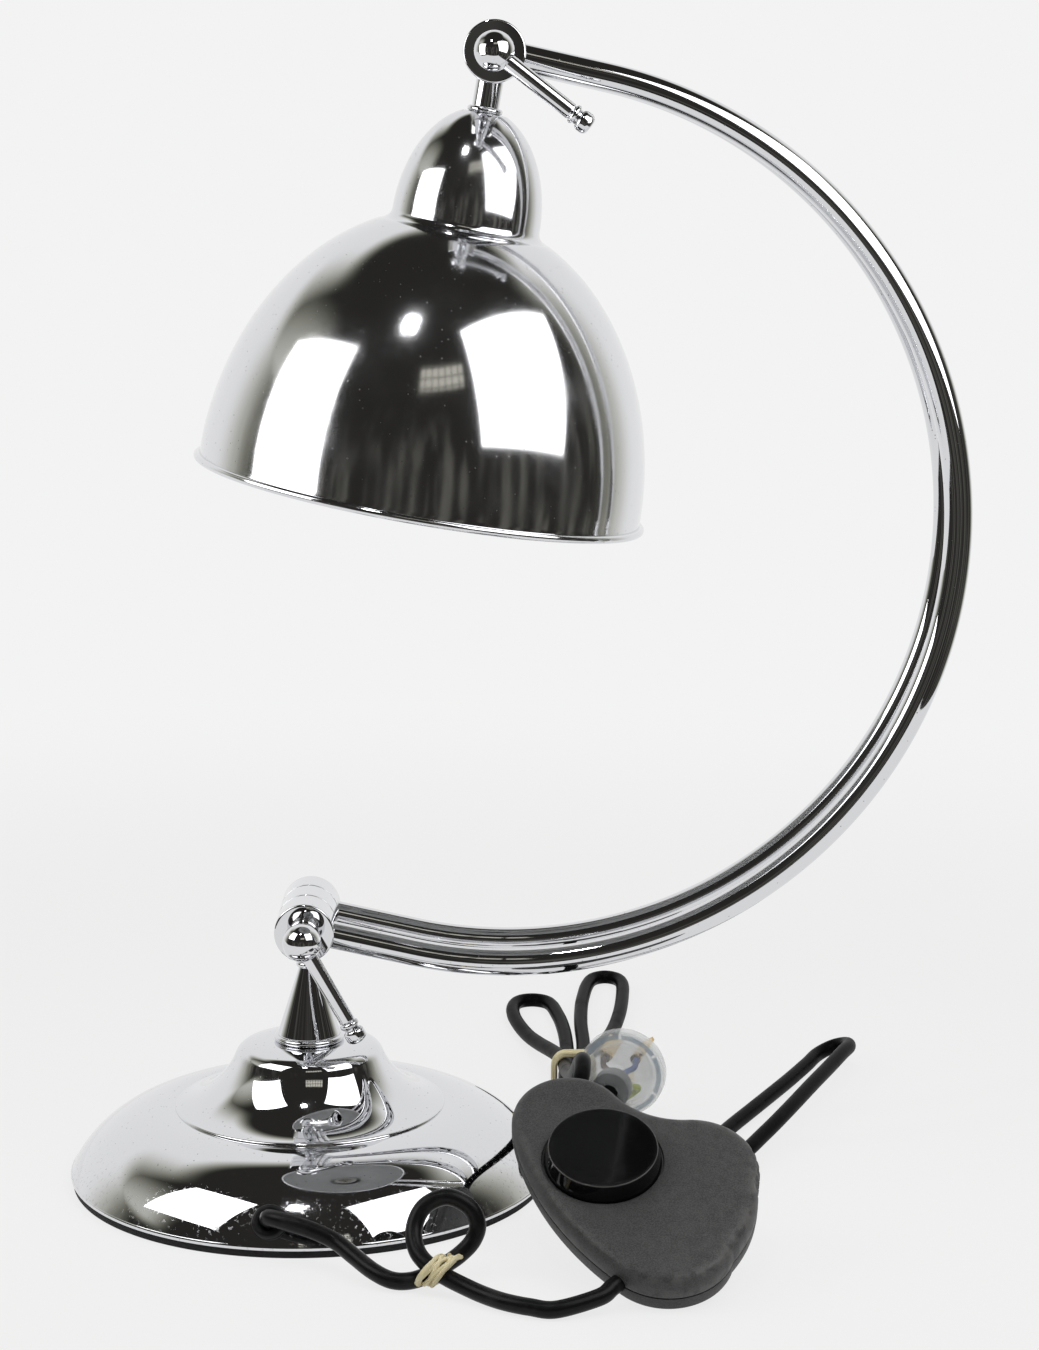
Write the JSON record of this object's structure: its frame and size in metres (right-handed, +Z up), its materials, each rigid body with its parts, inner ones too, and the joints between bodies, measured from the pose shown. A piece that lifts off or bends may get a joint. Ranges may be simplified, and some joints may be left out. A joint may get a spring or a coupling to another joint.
{
  "type": "desk lamp",
  "caption": "Chromed desk lamp with a weighted bell base, a bowed twin-tube arm on clamped knuckles, a spun dome shade with an empty screw holder, and a foot dimmer on its cord.",
  "frame": {"origin": "centre of the base pad's underside, on the table", "axes": "+X towards the side the arm bows out to, +Y away from the clamp levers, +Z up"},
  "size_m": [0.3538, 0.4299, 0.4551],
  "materials": {
    "chrome": "mirror plate, lightly marked",
    "iron": "as cast",
    "pad_rubber": "matt foam",
    "plain_steel": "bright zinc",
    "fibre": "pressed fibre",
    "brass": "bright",
    "white_moulding": "moulded",
    "black_moulding": "moulded",
    "black_rubber": "satin",
    "tan_rubber": "stretched band",
    "grey_moulding": "fine grain",
    "board": "lacquered",
    "black_gloss": "polished",
    "clear_moulding": "milky clear",
    "grey_rubber": "moulded"
  },
  "bodies": {
    "base": {"base_shell": "chrome", "weight": "iron", "base_pad": "pad_rubber", "stem_tube": "plain_steel", "stem_washer": "plain_steel", "stem_nut": "plain_steel", "cone": "chrome", "lower_hub": "chrome", "grommet": "black_rubber", "lamp_cord": "black_rubber", "front_tie": "tan_rubber", "dimmer_base": "grey_moulding", "dimmer_cover": "grey_moulding", "dimmer_board": "board", "dimmer_control": "plain_steel", "dimmer_screws": "plain_steel", "mains_cord": "black_rubber", "rear_tie": "tan_rubber", "plug_base": "clear_moulding", "plug_cover": "clear_moulding", "plug_grip": "grey_rubber", "plug_pins": "brass"},
    "arm": {"front_tube": "chrome", "rear_tube": "chrome", "lower_front_segment": "chrome", "lower_rear_segment": "chrome", "upper_front_segment": "chrome", "upper_rear_segment": "chrome", "lower_bolt": "chrome", "upper_bolt": "chrome", "lower_friction_washers": "fibre", "upper_friction_washers": "fibre"},
    "lower_lever": {"lower_lever_ball": "chrome", "lower_lever_rod": "chrome"},
    "upper_lever": {"upper_lever_ball": "chrome", "upper_lever_rod": "chrome"},
    "shade": {"upper_hub": "chrome", "shade_stem": "chrome", "shade_collar": "chrome", "shade_nipple": "brass", "shade_nut": "plain_steel", "shade": "chrome", "holder_body": "white_moulding", "holder_ring": "black_moulding", "holder_screw_shell": "plain_steel", "holder_contact": "brass"},
    "dimmer_knob": {"dimmer_knob": "black_gloss"}
  },
  "joints": [
    {"name": "arm_tilt", "type": "hinge", "parent": "base", "child": "arm", "pos_m": [0, 0, 0.1056], "axis": [0, 1, 0], "range_deg": [-25, 12]},
    {"name": "lower_clamp", "type": "hinge", "parent": "arm", "child": "lower_lever", "pos_m": [0, -0.0362, 0.1056], "axis": [0, 1, 0], "range_deg": [-60, 40]},
    {"name": "upper_clamp", "type": "hinge", "parent": "arm", "child": "upper_lever", "pos_m": [0.07489, -0.0362, 0.4434], "axis": [0, 1, 0], "range_deg": [-60, 40]},
    {"name": "shade_tilt", "type": "hinge", "parent": "arm", "child": "shade", "pos_m": [0.07489, 0, 0.4434], "axis": [0, 1, 0], "range_deg": [-30, 75]},
    {"name": "dimmer_turn", "type": "hinge", "parent": "base", "child": "dimmer_knob", "pos_m": [0.1149, -0.09725, 0.03903], "axis": [0, -0.4305, 0.9026], "range_deg": [-135, 135]}
  ]
}
